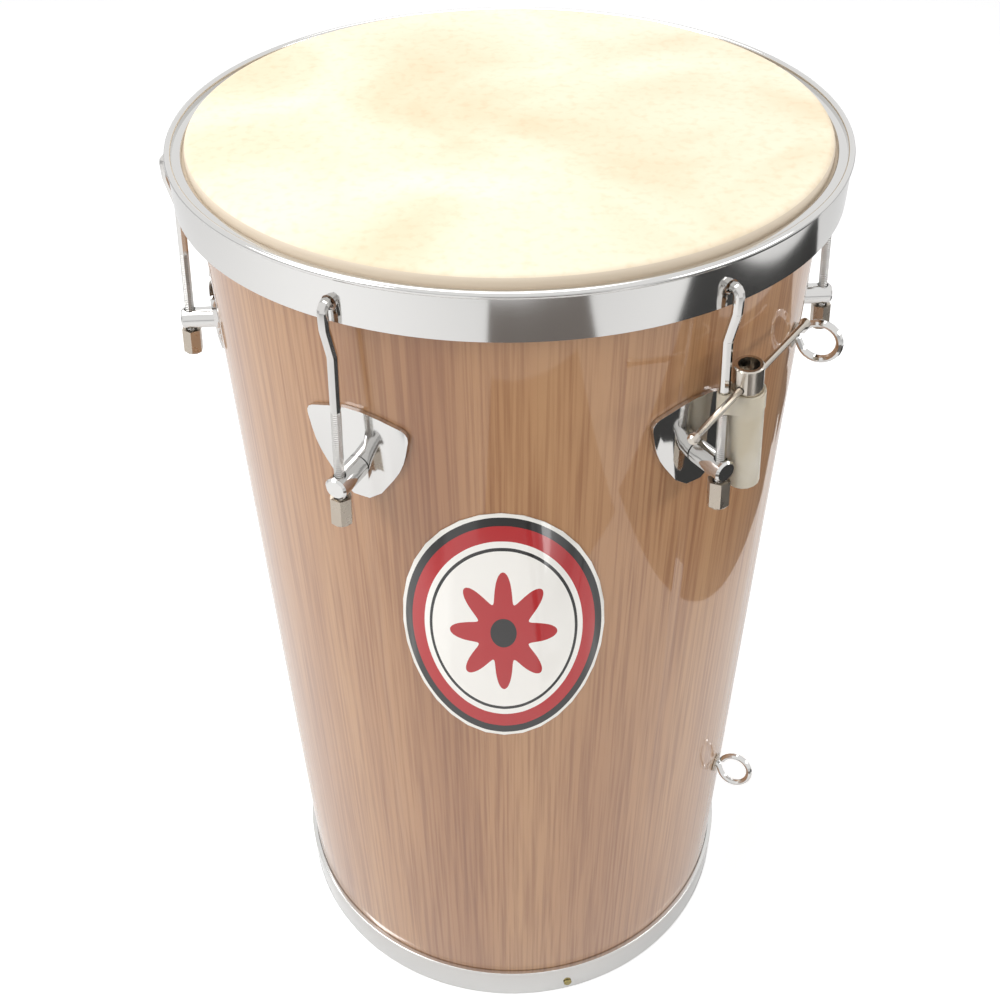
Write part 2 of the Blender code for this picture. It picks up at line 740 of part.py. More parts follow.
def bar_solid():
    """The tommy bar along X, long arm towards +X, with a knob at each end."""
    thin = BAR_DIAMETER / 2
    thick = BAR_KNOB_DIAMETER / 2
    rise = thick - thin
    long_end = BAR_LONG_ARM
    short_end = -BAR_SHORT_ARM
    stations = (
        (short_end, thin),
        (short_end + rise, thick),
        (short_end + BAR_KNOB_LENGTH - rise, thick),
        (short_end + BAR_KNOB_LENGTH, thin),
        (long_end - BAR_KNOB_LENGTH, thin),
        (long_end - BAR_KNOB_LENGTH + rise, thick),
        (long_end - rise, thick),
        (long_end, thin),
    )
    return along_x(stations, 10)


def key_frame():
    """The key's frame inside its lug frame: origin at the foot of the tube, Z up the tube."""
    foot = SLEEVE_FOOT + SLEEVE_FLOOR + FIT
    side = KEY_SIDE_AT_POST + (POST_HEIGHT - foot) * math.tan(KEY_LEAN)
    return Matrix.Translation((KEY_RADIUS, side, foot)) @ Matrix.Rotation(KEY_LEAN, 4, "X")


def sleeve_solid():
    """The soft sleeve: a closed tube round the key, and a collar that grips the hook's rod."""
    frame = key_frame()
    below = -SLEEVE_FLOOR - FIT
    top = below + SLEEVE_LENGTH
    collar_foot = top - SLEEVE_COLLAR_HEIGHT
    tube = loft(
        (
            at_height(circle(SLEEVE_RADIUS - SLEEVE_FLOOR, 16), below),
            at_height(circle(SLEEVE_RADIUS, 16), below + SLEEVE_FLOOR),
            at_height(circle(SLEEVE_RADIUS, 16), (collar_foot + top) / 2),
        )
    )
    bmesh.ops.transform(tube, verts=tube.verts, matrix=frame)
    grip_radius = ROD_DIAMETER / 2 + SLEEVE_PLAY + SLEEVE_WALL
    collar = bmesh.new()
    for height in (collar_foot, top):
        for x, y in circle(SLEEVE_RADIUS + SLEEVE_LIP, 16):
            collar.verts.new(frame @ Vector((x, y, height)))
        level = (frame @ Vector((0, 0, height))).z
        for x, y in circle(grip_radius):
            collar.verts.new((rod_radius(level) + x, y, level))
    bmesh.ops.convex_hull(collar, input=collar.verts)
    inside_hull = [vert for vert in collar.verts if not vert.link_faces]
    bmesh.ops.delete(collar, geom=inside_hull, context="VERTS")
    bmesh.ops.recalc_face_normals(collar, faces=collar.faces)
    bore = rod(KEY_DIAMETER / 2 + SLEEVE_PLAY, (0, 0, -FIT), (0, 0, 2 * SLEEVE_LENGTH), 16)
    bmesh.ops.transform(bore, verts=bore.verts, matrix=frame)
    low = SLEEVE_FOOT
    high = SLEEVE_FOOT + 2 * SLEEVE_LENGTH
    grip = rod(
        ROD_DIAMETER / 2 + SLEEVE_PLAY, (rod_radius(low), 0, low), (rod_radius(high), 0, high)
    )
    return combined(combined(combined(tube, collar, "UNION"), bore), grip)


def badge_solid():
    """A thin oval badge laid round the front of the shell."""
    outline = []
    for x, y in circle(1, BADGE_STEPS):
        outline.append((x * BADGE_HALF_WIDTH, y * BADGE_HALF_HEIGHT))
    return wrapped_sheet(outline, BADGE_HEIGHT, FIT, BADGE_SHEET, BADGE_BEND_STEP)


def lug_bearings():
    return [FIRST_LUG_BEARING + 360 / LUG_COUNT * i for i in range(LUG_COUNT)]


def frame_at(name, parent, bearing):
    """An empty on the drum's axis, turned to a bearing."""
    return place(name, None, parent, turn=(0, 0, bearing_turn(bearing)))


def add_body(axis, steel, nickel):
    """The shell, what stiffens it, and the bottom rim with its screws."""
    lacquered = finish("lacquered_veneer", (0.26, 0.13, 0.06), 0.0, 0.2)
    bare_wood = finish("bare_wood", (0.45, 0.31, 0.18), 0.0, 0.7)
    place("shell", mesh_from("shell", shell_solid(), lacquered), axis)
    top = SHELL_TOP - REINFORCING_INSET
    foot = SHELL_FOOT + REINFORCING_INSET
    upper = reinforcing_ring(top - REINFORCING_HEIGHT, top)
    lower = reinforcing_ring(foot, foot + REINFORCING_HEIGHT)
    place("top_reinforcing_ring", mesh_from("top_reinforcing_ring", upper, bare_wood), axis)
    place("bottom_reinforcing_ring", mesh_from("bottom_ring", lower, bare_wood), axis)
    place("bottom_rim", mesh_from("bottom_rim", bottom_rim_solid(), steel), axis)
    screw = mesh_from("rim_screw", rim_screw_solid(), nickel)
    for i, bearing in enumerate(RIM_SCREW_BEARINGS, 1):
        frame = frame_at(f"rim_screw_{i}_frame", axis, bearing)
        place(f"rim_screw_{i}", screw, frame, (BOTTOM_RIM_RADIUS + FIT, 0, RIM_SCREW_HEIGHT))


def add_head(axis, steel):
    """The hide, its flesh hoop and the tension rim."""
    hide = finish("goat_hide", (0.82, 0.72, 0.55), 0.0, 0.6)
    place("drum_head", mesh_from("drum_head", head_solid(), hide), axis)
    place("flesh_hoop", mesh_from("flesh_hoop", flesh_hoop_solid(), steel), axis)
    place("tension_rim", mesh_from("tension_rim", tension_rim_solid(), steel), axis)


def add_lugs(axis, steel, nickel):
    """Six lugs: plate, post, bolt and washer on the shell, and the hook with its nut."""
    plate = mesh_from("lug_plate", plate_solid(), steel)
    post = mesh_from("lug_post", post_solid(), steel)
    bolt = mesh_from("lug_bolt", bolt_solid(), nickel)
    bore = BOLT_DIAMETER + 2 * FIT
    washer = mesh_from("lug_washer", washer_solid(WASHER_DIAMETER, bore, WASHER_SHEET), nickel)
    nut = mesh_from("tuning_nut", nut_solid(), nickel)
    hook = wire_curve("hook", hook_path(), ROD_DIAMETER, steel)
    washer_face = wall_inside(POST_HEIGHT, WASHER_DIAMETER / 2)
    bolt_face = washer_face - WASHER_SHEET - FIT
    drop = nut_drop() * math.cos(ROD_LEAN)
    nut_top = POST_HEIGHT - drop
    frames = []
    for i, bearing in enumerate(lug_bearings(), 1):
        frame = frame_at(f"lug_{i}_frame", axis, bearing)
        place(f"lug_plate_{i}", plate, frame)
        place(f"lug_post_{i}", post, frame)
        place(f"lug_bolt_{i}", bolt, frame, (bolt_face, 0, POST_HEIGHT))
        place(f"lug_washer_{i}", washer, frame, (washer_face, 0, POST_HEIGHT))
        place(f"hook_{i}", hook, frame)
        place(f"tuning_nut_{i}", nut, frame, (rod_radius(nut_top), 0, nut_top), (0, -ROD_LEAN, 0))
        frames.append(frame)
    return frames


def add_eye(axis, name, height, turn, steel, nickel):
    """A strap eye with its washers and nut, in a frame on its shank's axis."""
    frame = frame_at(f"strap_eye_{name}_bearing", axis, EYE_BEARING)
    shank = place(f"strap_eye_{name}_frame", None, frame, (shell_radius(height), 0, height))
    shank.rotation_euler.x = turn
    ring = wire_curve(f"strap_eye_{name}", eye_path(height), EYE_WIRE, steel)
    bore = EYE_WIRE + 2 * FIT
    outer = washer_solid(EYE_WASHER_DIAMETER, bore, EYE_OUTER_WASHER_SHEET)
    inner = washer_solid(EYE_WASHER_DIAMETER, bore, EYE_INNER_WASHER_SHEET)
    nut = loft(
        (
            [(0, y, z) for y, z in hexagon(EYE_NUT_FLATS)],
            [(0, y, z) for y, z in circle(bore / 2)],
            [(-EYE_NUT_HEIGHT, y, z) for y, z in circle(bore / 2)],
            [(-EYE_NUT_HEIGHT, y, z) for y, z in hexagon(EYE_NUT_FLATS)],
        ),
        ring=True,
    )
    inner_face = wall_inside(height, EYE_WASHER_DIAMETER / 2) - shell_radius(height)
    outer_face = FIT + EYE_OUTER_WASHER_SHEET
    place(f"strap_eye_{name}", ring, shank)
    outer_mesh = mesh_from(f"eye_outer_washer_{name}", outer, nickel)
    inner_mesh = mesh_from(f"eye_inner_washer_{name}", inner, nickel)
    place(f"eye_outer_washer_{name}", outer_mesh, shank, (outer_face, 0, 0))
    place(f"eye_inner_washer_{name}", inner_mesh, shank, (inner_face, 0, 0))
    nut_mesh = mesh_from(f"eye_nut_{name}", nut, nickel)
    place(f"eye_nut_{name}", nut_mesh, shank, (eye_nut_face(height), 0, 0))


def add_key(lug_frame, steel):
    """The tuning key in its sleeve on a hook, with the tommy bar through it."""
    plastic = finish("soft_clear_plastic", (0.72, 0.68, 0.58), 0.0, 0.35)
    place("key_sleeve", mesh_from("key_sleeve", sleeve_solid(), plastic), lug_frame)
    tube_frame = place("key_frame", None, lug_frame)
    tube_frame.matrix_local = key_frame()
    place("tuning_key", mesh_from("tuning_key", key_solid(), steel), tube_frame)
    turn = bar_direction().to_track_quat("X", "Z").to_euler()
    bar = mesh_from("tommy_bar", bar_solid(), steel)
    place("tommy_bar", bar, tube_frame, (0, 0, KEY_LENGTH - BAR_DROP), turn)


def add_badge(axis):
    enamel = finish("printed_badge", (0.75, 0.75, 0.75), 0.0, 0.3)
    frame = frame_at("badge_frame", axis, BADGE_BEARING)
    place("badge", mesh_from("badge", badge_solid(), enamel), frame)


def centre_over_origin(axis):
    """Moves the whole drum so that the middle of its bounding box stands over the origin."""
    bpy.context.view_layer.update()
    graph = bpy.context.evaluated_depsgraph_get()
    low = Vector((math.inf, math.inf))
    high = Vector((-math.inf, -math.inf))
    for made in bpy.context.scene.objects:
        if made.type == "EMPTY":
            continue
        evaluated = made.evaluated_get(graph)
        for vert in evaluated.to_mesh().vertices:
            spot = made.matrix_world @ vert.co
            low = Vector((min(low.x, spot.x), min(low.y, spot.y)))
            high = Vector((max(high.x, spot.x), max(high.y, spot.y)))
        evaluated.to_mesh_clear()
    middle = (low + high) / 2
    axis.location = (-middle.x, -middle.y, 0)


def main():
    for old in list(bpy.data.objects):
        bpy.data.objects.remove(old)
    steel = finish("chromed_steel", (0.62, 0.61, 0.60), 1.0, 0.12)
    nickel = finish("nickelled_steel", (0.50, 0.47, 0.42), 1.0, 0.3)
    axis = place("drum_axis", None, None)
    add_body(axis, steel, nickel)
    add_head(axis, steel)
    lug_frames = add_lugs(axis, steel, nickel)
    upper, lower = eye_heights()
    add_eye(axis, "upper", upper, EYE_UPPER_TURN, steel, nickel)
    add_eye(axis, "lower", lower, EYE_LOWER_TURN, steel, nickel)
    add_key(lug_frames[KEY_LUG - 1], steel)
    add_badge(axis)
    centre_over_origin(axis)


main()
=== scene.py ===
"""Looks of a rebolo drum: finishes, fine surfaces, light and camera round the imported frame."""

import math

import bmesh
import bpy
from mathutils import Matrix, Vector


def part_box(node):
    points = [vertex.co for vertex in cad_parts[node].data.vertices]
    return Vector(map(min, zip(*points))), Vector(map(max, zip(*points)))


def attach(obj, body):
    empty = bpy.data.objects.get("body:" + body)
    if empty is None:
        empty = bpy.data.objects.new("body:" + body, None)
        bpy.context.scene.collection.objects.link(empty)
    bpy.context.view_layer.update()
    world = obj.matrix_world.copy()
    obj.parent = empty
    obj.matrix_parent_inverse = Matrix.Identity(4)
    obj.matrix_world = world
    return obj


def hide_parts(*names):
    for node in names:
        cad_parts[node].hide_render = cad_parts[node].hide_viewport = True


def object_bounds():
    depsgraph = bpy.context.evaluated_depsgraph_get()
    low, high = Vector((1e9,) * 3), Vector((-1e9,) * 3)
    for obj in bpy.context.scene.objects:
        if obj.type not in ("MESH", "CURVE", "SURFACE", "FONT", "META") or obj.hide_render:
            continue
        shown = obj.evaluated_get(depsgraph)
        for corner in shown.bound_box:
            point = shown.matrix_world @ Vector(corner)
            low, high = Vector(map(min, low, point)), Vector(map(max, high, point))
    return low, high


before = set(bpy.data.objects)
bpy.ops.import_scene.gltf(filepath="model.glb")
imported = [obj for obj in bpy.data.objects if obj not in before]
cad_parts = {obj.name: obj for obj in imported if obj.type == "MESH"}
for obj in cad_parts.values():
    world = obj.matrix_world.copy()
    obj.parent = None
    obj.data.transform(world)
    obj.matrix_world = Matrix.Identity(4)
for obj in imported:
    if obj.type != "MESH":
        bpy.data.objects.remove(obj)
CAD_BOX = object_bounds()

# Sizes that the frame's boxes don't give, in metres
SHELL_NARROWING = 0.0071
SHELL_WALL = 0.006
BEARING_EDGE_ROUND = 0.0028
BEARING_EDGE_LAND = 0.0008
HIDE = 0.0010
HIDE_SHOULDER_ROUND = 0.0030
HIDE_COLLAR_GAP = 0.0005
FLESH_HOOP_WIRE_RADIUS = 0.0024
RIM_SHEET = 0.0015
RIM_LIP_ROUND = RIM_SHEET / 4
RIM_FLANGE_GAP = 0.0016
RIM_BEAD_RADIUS = 0.00165
BOTTOM_RIM_SHEET = 0.0012
BOTTOM_RIM_ROUND = 0.0006
ROD_DIAMETER = 0.00476
THREAD_PITCH = 0.0010583
THREAD_TOP_DROP = 0.0674
HOOK_STAND_OFF = 0.0024
HOOK_CROWN_RISE = 0.0119
HOOK_TIP_SLOPE = 0.0053 / 0.0098
BOLT_HOLE_RADIUS = 0.0034
EYE_HOLE_RADIUS = 0.0025
FIT = 0.0003
EDGE_SOFTENING = 0.00015
ROUNDOFF = 0.000001

# Where the fittings sit round the shell, in degrees from the front
LUG_COUNT = 6
FIRST_LUG_BEARING = -26.4
EYE_BEARING = 63.6

# A drill's start and end, as shares of the shell's foot radius and top radius
DRILL_START = 0.8
DRILL_END = 1.2

# How finely round shapes are drawn, in steps
ROUND_STEPS = 192
CORNER_STEPS = 6
BEARING_EDGE_STEPS = 6
RIM_BEAD_STEPS = 14
BOTTOM_RIM_FOOT_STEPS = 4
BOTTOM_RIM_TOP_STEPS = 5
HOLE_STEPS = 32
SOFT_EDGE_STEPS = 2

# Angles between faces, in degrees: flatter is one face, sharper is a crease, sharper still is softened
FLAT_ANGLE = 0.5
CREASE_ANGLE = 32
SOFTENED_ANGLE = 40

# Pattern cells per metre along X, Y and Z. A cell's size in millimetres is 1000 divided by its number
# Veneer: bands 62 mm wide and over a metre long, and pore lines drawn 2 mm wide so that they show
VENEER_BANDS = (16, 16, 0.9)
VENEER_PORES = (520, 520, 7)
# Bare wood: growth lines 3 mm apart up the wall, 11 mm long round it
BARE_WOOD_GRAIN = (90, 90, 300)
# Hide: patches about 110 mm wide, and pores drawn 5 mm wide so that they show
HIDE_PATCHES = (9, 9, 9)
HIDE_PATCH_SHIFT = (0.3, 0.1, 0)
HIDE_PORES = (210, 210, 210)
# Metal: wipe marks 25 mm wide and 80 mm tall on chrome, and a haze of 7 mm clouds on satin plate
WIPE_MARKS = (40, 40, 12)
PLATE_HAZE = (150, 150, 150)
# Sleeve: clouds 14 mm wide and 25 mm tall in the plastic
SLEEVE_CLOUDS = (70, 70, 40)

# Roughness of chrome where it is clean and where it is wiped
CHROME_CLEAN = 0.049
CHROME_WIPED = 0.112

# A satin plate's clearest and dullest places, as shares of its roughness
SATIN_CLEAREST = 0.7
SATIN_DULLEST = 1.5

# The badge: bands from its middle, as shares of the way to its edge, and a rosette
BADGE_WHITE = "F3F0EA"
BADGE_BLACK = "1B1A1A"
BADGE_RED = "B3191E"
BADGE_BANDS = (
    (0.0, BADGE_WHITE), (0.70, BADGE_BLACK), (0.73, BADGE_WHITE), (0.78, BADGE_RED), (0.90, BADGE_BLACK),
    (0.965, "EDEAE3"),
)
PETAL_COUNT = 8
PETAL_REACH = 0.40
PETAL_SWING = 0.13
HEART_RADIUS = 0.13

# The Mix node's colour inputs and output, by number, because its names are shared
MIX_SHARE = 0
MIX_UNDER = 6
MIX_OVER = 7
MIXED = 2

# The photograph's camera, from the drum's axis on the floor: metres, radians and millimetres
CAMERA_PLACE = (0, -0.575892, 0.787338)
CAMERA_PITCH = 0.695
CAMERA_YAW = -0.011
CAMERA_ROLL = -0.012
CAMERA_LENS = 44.708
CAMERA_SENSOR = 36
CAMERA_NEAREST = 0.01

# The studio: floor in metres, glow of the floor and strength of the white surrounding
WHITE = (1, 1, 1, 1)
FLOOR_HALF_WIDTH = 6
FLOOR_DROP = 0.0002
FLOOR_GLOW = 0.35
SOFT_LIGHT = 0.55
SEEN_LIGHT = 1.0

# Floor sheets that only reflections show: name, middle, width and depth, colour
SHEETS = (
    ("right_card", (0.78, -0.05, 0.001), (0.62, 1.1), "121110"),
    ("front_card", (0.16, -0.82, 0.001), (0.55, 0.5), "6E6762"),
)

# Soft panels of light: name, place, width and height, watts
PANELS = (
    ("left_panel", (-1.3, -0.7, 1.3), (0.7, 1.4), 16),
    ("right_panel", (1.4, -0.5, 0.9), (0.3, 1.3), 7),
    ("top_panel", (-0.2, 0.3, 1.9), (1.2, 1.2), 12),
)

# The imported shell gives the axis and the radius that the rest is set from
SHELL_LOW, SHELL_HIGH = (Vector(corner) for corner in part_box("shell"))
AXIS = Vector((0, (SHELL_LOW.y + SHELL_HIGH.y) / 2, 0))
SHELL_RADIUS = (SHELL_HIGH.x - SHELL_LOW.x) / 2
SHELL_FOOT_RADIUS = SHELL_RADIUS - SHELL_NARROWING


def linear(code):
    """A linear colour from an sRGB hex code."""
    levels = [int(code[i : i + 2], 16) / 255 for i in (0, 2, 4)]
    return (*[v / 12.92 if v <= 0.04045 else ((v + 0.055) / 1.055) ** 2.4 for v in levels], 1)


def feed(tree, node, inputs):
    """Gives each named input of a node its value, or links another node's output to it."""
    for key, value in inputs.items():
        if isinstance(value, bpy.types.NodeSocket):
            tree.links.new(value, node.inputs[key])
        else:
            node.inputs[key].default_value = value


def add_node(tree, kind, inputs=None, stops=(), **settings):
    """Adds a node with its settings, its inputs and the stops of its colour ramp."""
    node = tree.nodes.new(kind)
    for key, value in settings.items():
        setattr(node, key, value)
    for i, (place, code) in enumerate(stops):
        elements = node.color_ramp.elements
        element = elements[i] if i < 2 else elements.new(place)
        element.position = place
        element.color = linear(code)
    feed(tree, node, inputs or {})
    return node


def new_finish(name, inputs):
    """A new material, with its node tree and its shader."""
    material = bpy.data.materials.new(name)
    material.use_nodes = True
    tree = material.node_tree
    shader = tree.nodes["Principled BSDF"]
    feed(tree, shader, inputs)
    return material, tree, shader


def cloudy(tree, cells, detail, distortion=0.0, shift=(0, 0, 0)):
    """A cloudy pattern with a number of cells per metre along X, Y and Z."""
    place = add_node(tree, "ShaderNodeTexCoord").outputs["Object"]
    inputs = {"Vector": place, "Scale": cells, "Location": shift}
    sized = add_node(tree, "ShaderNodeMapping", inputs).outputs[0]
    inputs = {"Vector": sized, "Scale": 1.0, "Detail": detail, "Distortion": distortion}
    return add_node(tree, "ShaderNodeTexNoise", inputs).outputs[0]


def height_on_drum(tree):
    """The height of each point above the floor, in metres."""
    place = add_node(tree, "ShaderNodeTexCoord").outputs["Object"]
    return add_node(tree, "ShaderNodeSeparateXYZ", {"Vector": place}).outputs["Z"]


def lacquered_veneer():
    """Brown veneer under sprayed gloss lacquer: upright grain below a clear, sharp gloss."""
    material, tree, shader = new_finish(
        "lacquered_veneer", {"Roughness": 0.38, "Coat Weight": 1.0, "Coat Roughness": 0.04}
    )
    bands = cloudy(tree, VENEER_BANDS, 3.0, 0.5)
    pores = cloudy(tree, VENEER_PORES, 5.0)
    browns = ((0.28, "9C6C47"), (0.50, "B08259"), (0.72, "C09569"))
    brown = add_node(tree, "ShaderNodeValToRGB", {"Fac": bands}, browns).outputs["Color"]
    lines = add_node(
        tree, "ShaderNodeValToRGB", {"Fac": pores}, ((0.34, "B9987C"), (0.58, "FFFFFF"))
    ).outputs["Color"]
    grain = add_node(
        tree, "ShaderNodeMix", {MIX_SHARE: 0.55, MIX_UNDER: brown, MIX_OVER: lines},
        data_type="RGBA", blend_type="MULTIPLY",
    ).outputs[MIXED]
    relief = add_node(tree, "ShaderNodeBump", {"Height": pores, "Strength": 0.04, "Distance": 0.0002})
    feed(tree, shader, {"Base Color": grain, "Normal": relief.outputs[0]})
    return material


def bare_wood():
    """Sawn wood left raw inside the shell: pale, dull and slightly rough."""
    material, tree, shader = new_finish("bare_wood", {"Roughness": 0.75})
    grain = cloudy(tree, BARE_WOOD_GRAIN, 5.0)
    tans = ((0.3, "8C6A45"), (0.7, "C2A079"))
    tan = add_node(tree, "ShaderNodeValToRGB", {"Fac": grain}, tans).outputs["Color"]
    relief = add_node(tree, "ShaderNodeBump", {"Height": grain, "Strength": 0.2, "Distance": 0.0003})
    feed(tree, shader, {"Base Color": tan, "Normal": relief.outputs[0]})
    return material


def goat_hide():
    """Goat hide, scraped and dried tight: dull cream with tan patches, and painted shade that turns its
    collar beige.
    """
    material, tree, shader = new_finish("goat_hide", {"Roughness": 0.62, "Sheen Weight": 0.05})
    patches = cloudy(tree, HIDE_PATCHES, 4.0, 0.8, HIDE_PATCH_SHIFT)
    pores = cloudy(tree, HIDE_PORES, 6.0)
    creams = ((0.30, "E2CFAE"), (0.48, "EEDFC4"), (0.68, "F7ECD6"))
    cream = add_node(tree, "ShaderNodeValToRGB", {"Fac": patches}, creams).outputs["Color"]
    flecks = add_node(
        tree, "ShaderNodeValToRGB", {"Fac": pores}, ((0.28, "E6D6BA"), (0.50, "FFFFFF"))
    ).outputs["Color"]
    playing_face = add_node(
        tree, "ShaderNodeMix", {MIX_SHARE: 0.3, MIX_UNDER: cream, MIX_OVER: flecks},
        data_type="RGBA", blend_type="MULTIPLY",
    ).outputs[MIXED]
    # Painted shade: a darker beige below the collar's top, where the hide dips into the gap between the
    # bearing edge and the rim
    collar_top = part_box("drum_head")[1][2] - HIDE_SHOULDER_ROUND / 2
    painted_shade_on_collar = add_node(
        tree, "ShaderNodeMath", {0: height_on_drum(tree), 1: collar_top}, operation="LESS_THAN"
    ).outputs[0]
    hide_with_painted_collar_shade = add_node(
        tree, "ShaderNodeMix",
        {MIX_SHARE: painted_shade_on_collar, MIX_UNDER: playing_face, MIX_OVER: linear("DCCDB8")}, data_type="RGBA",
    ).outputs[MIXED]
    relief = add_node(tree, "ShaderNodeBump", {"Height": pores, "Strength": 0.12, "Distance": 0.0004})
    feed(tree, shader, {"Base Color": hide_with_painted_collar_shade, "Normal": relief.outputs[0]})
    return material


def chrome(name):
    """Polished steel with chrome plate: a bright mirror with faint wipe marks."""
    material, tree, shader = new_finish(name, {"Metallic": 1.0, "Base Color": linear("D8D7D5")})
    marks = {"Value": cloudy(tree, WIPE_MARKS, 4.0), "To Min": CHROME_CLEAN, "To Max": CHROME_WIPED}
    feed(tree, shader, {"Roughness": add_node(tree, "ShaderNodeMapRange", marks).outputs[0]})
    return material


def threaded_chrome():
    """Drawn steel rod, chromed, with a rolled thread: fine bright rings on its lower part."""
    material, tree, shader = new_finish(
        "threaded_chrome", {"Metallic": 1.0, "Base Color": linear("D5D3D0"), "Roughness": 0.12}
    )
    height = height_on_drum(tree)
    inputs = {0: height, 1: math.tau / THREAD_PITCH}
    turns = add_node(tree, "ShaderNodeMath", inputs, operation="MULTIPLY").outputs[0]
    wave = add_node(tree, "ShaderNodeMath", {0: turns}, operation="SINE").outputs[0]
    inputs = {0: height, 1: CAD_BOX[1][2] - THREAD_TOP_DROP}
    below_top = add_node(tree, "ShaderNodeMath", inputs, operation="LESS_THAN").outputs[0]
    inputs = {0: wave, 1: below_top}
    thread = add_node(tree, "ShaderNodeMath", inputs, operation="MULTIPLY").outputs[0]
    inputs = {"Height": thread, "Strength": 1.0, "Distance": THREAD_PITCH / 4}
    feed(tree, shader, {"Normal": add_node(tree, "ShaderNodeBump", inputs).outputs[0]})
    return material


def satin_plate(name, code, roughness):
    """Satin plated metal: a soft, slightly clouded shine."""
    material, tree, shader = new_finish(name, {"Metallic": 1.0, "Base Color": linear(code)})
    haze = {
        "Value": cloudy(tree, PLATE_HAZE, 5.0), "To Min": roughness * SATIN_CLEAREST,
        "To Max": roughness * SATIN_DULLEST,
    }
    feed(tree, shader, {"Roughness": add_node(tree, "ShaderNodeMapRange", haze).outputs[0]})
    return material


def soft_plastic():
    """Moulded vinyl of the key's sleeve: cream, cloudy and half clear."""
    material, tree, shader = new_finish(
        "soft_clear_plastic", {"Roughness": 0.32, "Transmission Weight": 0.55, "IOR": 1.3}
    )
    clouds = cloudy(tree, SLEEVE_CLOUDS, 3.0)
    creams = ((0.3, "EDE4D0"), (0.7, "FBF6EA"))
    cream = add_node(tree, "ShaderNodeValToRGB", {"Fac": clouds}, creams).outputs["Color"]
    feed(tree, shader, {"Base Color": cream})
    return material


def printed_badge():
    """Printed vinyl sticker: flat clean colours and a thin gloss, with a border and a rosette."""
    material, tree, shader = new_finish(
        "printed_badge", {"Roughness": 0.3, "Coat Weight": 0.6, "Coat Roughness": 0.08}
    )
    low, high = (Vector(corner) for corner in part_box("badge"))
    middle = (low + high) / 2
    half = (high - low) / 2
    inputs = {
        "Vector": add_node(tree, "ShaderNodeTexCoord").outputs["Object"],
        "Scale": (1 / half.x, 0, 1 / half.z), "Location": (-middle.x / half.x, 0, -middle.z / half.z),
    }
    spot = add_node(tree, "ShaderNodeMapping", inputs).outputs[0]
    reach = add_node(tree, "ShaderNodeVectorMath", {0: spot}, operation="LENGTH").outputs["Value"]
    bands = add_node(tree, "ShaderNodeValToRGB", {"Fac": reach}, BADGE_BANDS)
    bands.color_ramp.interpolation = "CONSTANT"
    spot = add_node(tree, "ShaderNodeSeparateXYZ", {"Vector": spot}).outputs
    turn = add_node(tree, "ShaderNodeMath", {0: spot["Z"], 1: spot["X"]}, operation="ARCTAN2").outputs[0]
    turns = add_node(tree, "ShaderNodeMath", {0: turn, 1: PETAL_COUNT}, operation="MULTIPLY").outputs[0]
    wave = add_node(tree, "ShaderNodeMath", {0: turns}, operation="COSINE").outputs[0]
    inputs = {0: wave, 1: PETAL_SWING, 2: PETAL_REACH}
    edge = add_node(tree, "ShaderNodeMath", inputs, operation="MULTIPLY_ADD").outputs[0]
    print_colour = bands.outputs["Color"]
    for limit, code in ((edge, BADGE_RED), (HEART_RADIUS, BADGE_BLACK)):
        inside = add_node(tree, "ShaderNodeMath", {0: reach, 1: limit}, operation="LESS_THAN").outputs[0]
        inputs = {MIX_SHARE: inside, MIX_UNDER: print_colour, MIX_OVER: linear(code)}
        print_colour = add_node(tree, "ShaderNodeMix", inputs, data_type="RGBA").outputs[MIXED]
    feed(tree, shader, {"Base Color": print_colour})
    return material


def new_object(name, data):
    """An object with its data, in the scene."""
    made = bpy.data.objects.new(name, data)
    bpy.context.scene.collection.objects.link(made)
    return made


def new_piece(name, bm):
    """A mesh object from a finished bmesh."""
    mesh = bpy.data.meshes.new(name)
    bm.to_mesh(mesh)
    bm.free()
    return new_object(name, mesh)


def arc(centre, radius, start, end, steps):
    """Points of an arc between two angles in degrees."""
    angles = [math.radians(start + (end - start) * i / steps) for i in range(steps + 1)]
    return [(centre[0] + radius * math.cos(a), centre[1] + radius * math.sin(a)) for a in angles]


def bent(corners, radii):
    """A path through flat corner points, with rounded corners."""
    path = [Vector(corners[0])]
    for i in range(1, len(corners) - 1):
        corner = Vector(corners[i])
        back = (Vector(corners[i - 1]) - corner).normalized()
        ahead = (Vector(corners[i + 1]) - corner).normalized()
        half = back.angle(ahead) / 2
        centre = corner + (back + ahead).normalized() * radii[i] / math.sin(half)
        run = radii[i] / math.tan(half)
        first = corner + back * run - centre
        last = corner + ahead * run - centre
        sweep = first.angle(last)
        for step in range(CORNER_STEPS + 1):
            turn = sweep * step / CORNER_STEPS
            blend = first * math.sin(sweep - turn) + last * math.sin(turn)
            path.append(centre + blend / math.sin(sweep))
    path.append(Vector(corners[-1]))
    return path


def turned(name, outline):
    """A finely turned piece on the drum's axis, from a closed outline of radii and heights."""
    bm = bmesh.new()
    verts = [bm.verts.new((radius, 0, height)) for radius, height in outline]
    edges = []
    for i in range(len(verts)):
        if outline[i - 1][0] > ROUNDOFF or outline[i][0] > ROUNDOFF:
            edges.append(bm.edges.new((verts[i - 1], verts[i])))
    bmesh.ops.spin(
        bm, geom=verts + edges, axis=(0, 0, 1), angle=math.tau, steps=ROUND_STEPS, use_merge=True
    )
    bmesh.ops.remove_doubles(bm, verts=bm.verts, dist=ROUNDOFF)
    bmesh.ops.recalc_face_normals(bm, faces=bm.faces)
    bmesh.ops.translate(bm, verts=bm.verts, vec=AXIS)
    return new_piece(name, bm)


def outward(bearing):
    """The direction that points out of the shell at a bearing in degrees."""
    angle = math.radians(bearing)
    return Vector((math.sin(angle), -math.cos(angle), 0))


def lug_directions():
    """The direction of each lug from the drum's axis."""
    return [outward(FIRST_LUG_BEARING + 360 / LUG_COUNT * i) for i in range(LUG_COUNT)]


def middle_height(node):
    """The height of the middle of a node's box."""
    low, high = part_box(node)
    return (low[2] + high[2]) / 2


